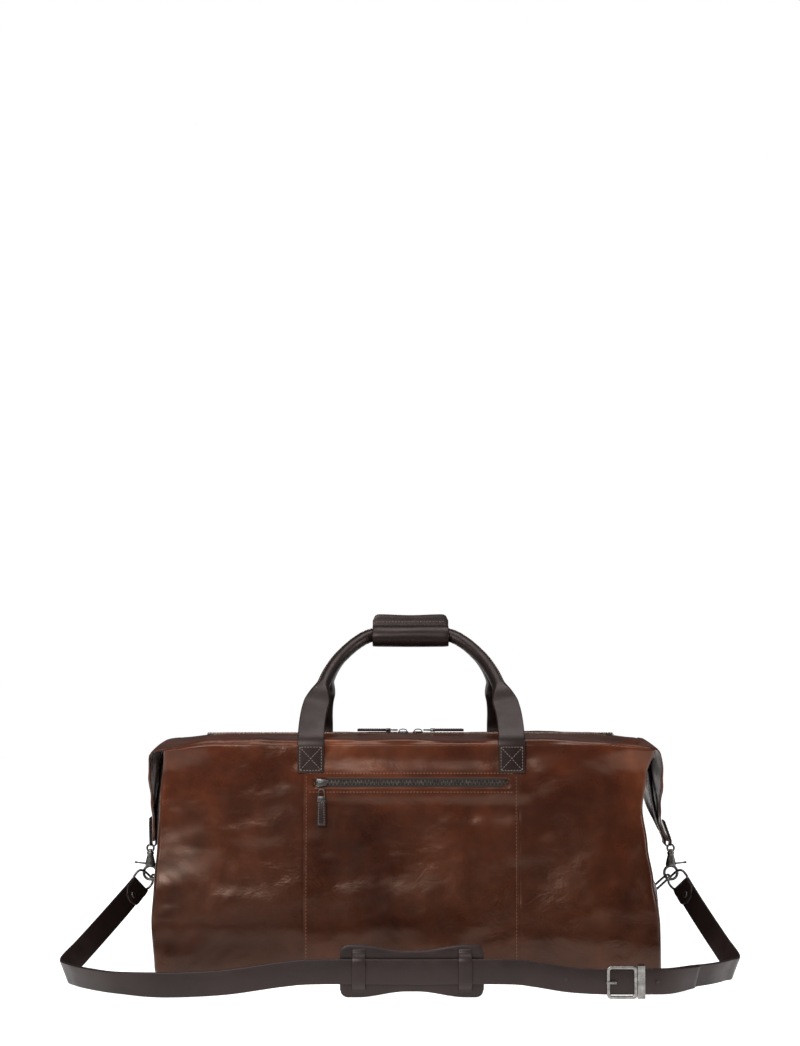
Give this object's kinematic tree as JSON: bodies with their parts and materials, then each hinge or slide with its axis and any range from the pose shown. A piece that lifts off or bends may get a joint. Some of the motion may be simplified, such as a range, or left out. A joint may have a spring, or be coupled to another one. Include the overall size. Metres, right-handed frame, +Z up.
{
  "type": "weekender bag",
  "caption": "Leather weekender bag with two rolled carrying handles, zipped top, front zip pocket, end snap hooks and a buckled shoulder strap laid round its front.",
  "frame": {"origin": "middle of the underside of the bag's base, on the floor", "axes": "+X along the bag's length, to the right seen from the front; -Y towards the front pocket; +Z up"},
  "size_m": [0.6779, 0.3605, 0.364],
  "materials": {
    "bag_leather": "burnished, semi-gloss",
    "strap_leather": "smooth, satin",
    "zip_tape": "woven",
    "zip_metal": "dark",
    "hardware": "gunmetal",
    "buckle_metal": "antique nickel",
    "lining_cloth": "plain cotton",
    "board": "matte"
  },
  "bodies": {
    "bag": {"back_handle_feet": "strap_leather", "back_panel_center": "bag_leather", "back_panel_left": "bag_leather", "back_panel_right": "bag_leather", "bag_ring_left": "hardware", "bag_ring_right": "hardware", "base_board": "board", "base_panel": "bag_leather", "buckle_frame": "buckle_metal", "buckle_keeper": "buckle_metal", "front_handle_feet": "strap_leather", "front_panel_center": "bag_leather", "front_panel_left": "bag_leather", "front_panel_right": "bag_leather", "gusset_left": "bag_leather", "gusset_right": "bag_leather", "lining": "lining_cloth", "main_zip_tape_back": "zip_tape", "main_zip_tape_front": "zip_tape", "main_zip_teeth": "zip_metal", "pocket_pouch": "lining_cloth", "pocket_zip_tape": "zip_tape", "pocket_zip_teeth": "zip_metal", "ring_tab_left": "strap_leather", "ring_tab_right": "strap_leather", "roof_panel_back": "bag_leather", "roof_panel_front": "bag_leather", "shoulder_strap_long": "strap_leather", "shoulder_strap_short": "strap_leather", "snap_hook_left": "hardware", "snap_hook_right": "hardware", "strap_ring_left": "hardware", "strap_ring_right": "hardware", "wing_left": "bag_leather", "wing_right": "bag_leather"},
    "front_handle": {"front_handle": "strap_leather", "front_grip": "strap_leather", "front_grip_snaps": "hardware"},
    "back_handle": {"back_handle": "strap_leather", "back_grip": "strap_leather", "back_grip_snaps": "hardware"},
    "main_slider_left": {"main_slider_left": "hardware"},
    "main_pull_left": {"main_pull_left_link": "hardware", "main_pull_left_tab": "strap_leather"},
    "main_slider_right": {"main_slider_right": "hardware"},
    "main_pull_right": {"main_pull_right_link": "hardware", "main_pull_right_tab": "strap_leather"},
    "pocket_slider": {"pocket_slider": "hardware"},
    "pocket_pull": {"pocket_pull_link": "hardware", "pocket_pull_tab": "strap_leather"},
    "hook_lever_left": {"hook_lever_left": "hardware"},
    "hook_lever_right": {"hook_lever_right": "hardware"},
    "shoulder_pad": {"shoulder_pad": "strap_leather"},
    "buckle_prong": {"buckle_prong": "buckle_metal"}
  },
  "joints": [
    {"name": "front_handle_swing", "type": "hinge", "parent": "bag", "child": "front_handle", "pos_m": [0, -0.128, 0.234], "axis": [1, 0, 0], "range_deg": [0, 200]},
    {"name": "back_handle_swing", "type": "hinge", "parent": "bag", "child": "back_handle", "pos_m": [0, 0.128, 0.234], "axis": [-1, 0, 0], "range_deg": [0, 200]},
    {"name": "main_slider_left_slide", "type": "slide", "parent": "bag", "child": "main_slider_left", "axis": [-1, 0, 0], "range_m": [0, 0.2]},
    {"name": "main_pull_left_flip", "type": "hinge", "parent": "main_slider_left", "child": "main_pull_left", "pos_m": [-0.0145, 0, 0.2394], "axis": [0, 1, 0], "range_deg": [0, 110]},
    {"name": "main_slider_right_slide", "type": "slide", "parent": "bag", "child": "main_slider_right", "axis": [1, 0, 0], "range_m": [0, 0.2]},
    {"name": "main_pull_right_flip", "type": "hinge", "parent": "main_slider_right", "child": "main_pull_right", "pos_m": [0.0145, 0, 0.2394], "axis": [0, -1, 0], "range_deg": [0, 110]},
    {"name": "pocket_slider_slide", "type": "slide", "parent": "bag", "child": "pocket_slider", "axis": [1, 0, 0], "range_m": [0, 0.165]},
    {"name": "pocket_pull_swing", "type": "hinge", "parent": "pocket_slider", "child": "pocket_pull", "pos_m": [-0.091, -0.1284, 0.1885], "axis": [-1, 0, 0], "range_deg": [0, 110]},
    {"name": "hook_lever_left_press", "type": "hinge", "parent": "bag", "child": "hook_lever_left", "pos_m": [-0.2886, 0, 0.096], "axis": [0, -1, 0], "range_deg": [0, 25], "stiffness_Nm_per_rad": 0.01},
    {"name": "hook_lever_right_press", "type": "hinge", "parent": "bag", "child": "hook_lever_right", "pos_m": [0.2886, 0, 0.096], "axis": [0, 1, 0], "range_deg": [0, 25], "stiffness_Nm_per_rad": 0.01},
    {"name": "shoulder_pad_slide", "type": "slide", "parent": "bag", "child": "shoulder_pad", "axis": [1, 0, 0], "range_m": [-0.03, 0.03]},
    {"name": "buckle_prong_swing", "type": "hinge", "parent": "bag", "child": "buckle_prong", "pos_m": [0.195, -0.2314, 0.0155], "axis": [0, 0, 1], "range_deg": [0, 90]}
  ]
}
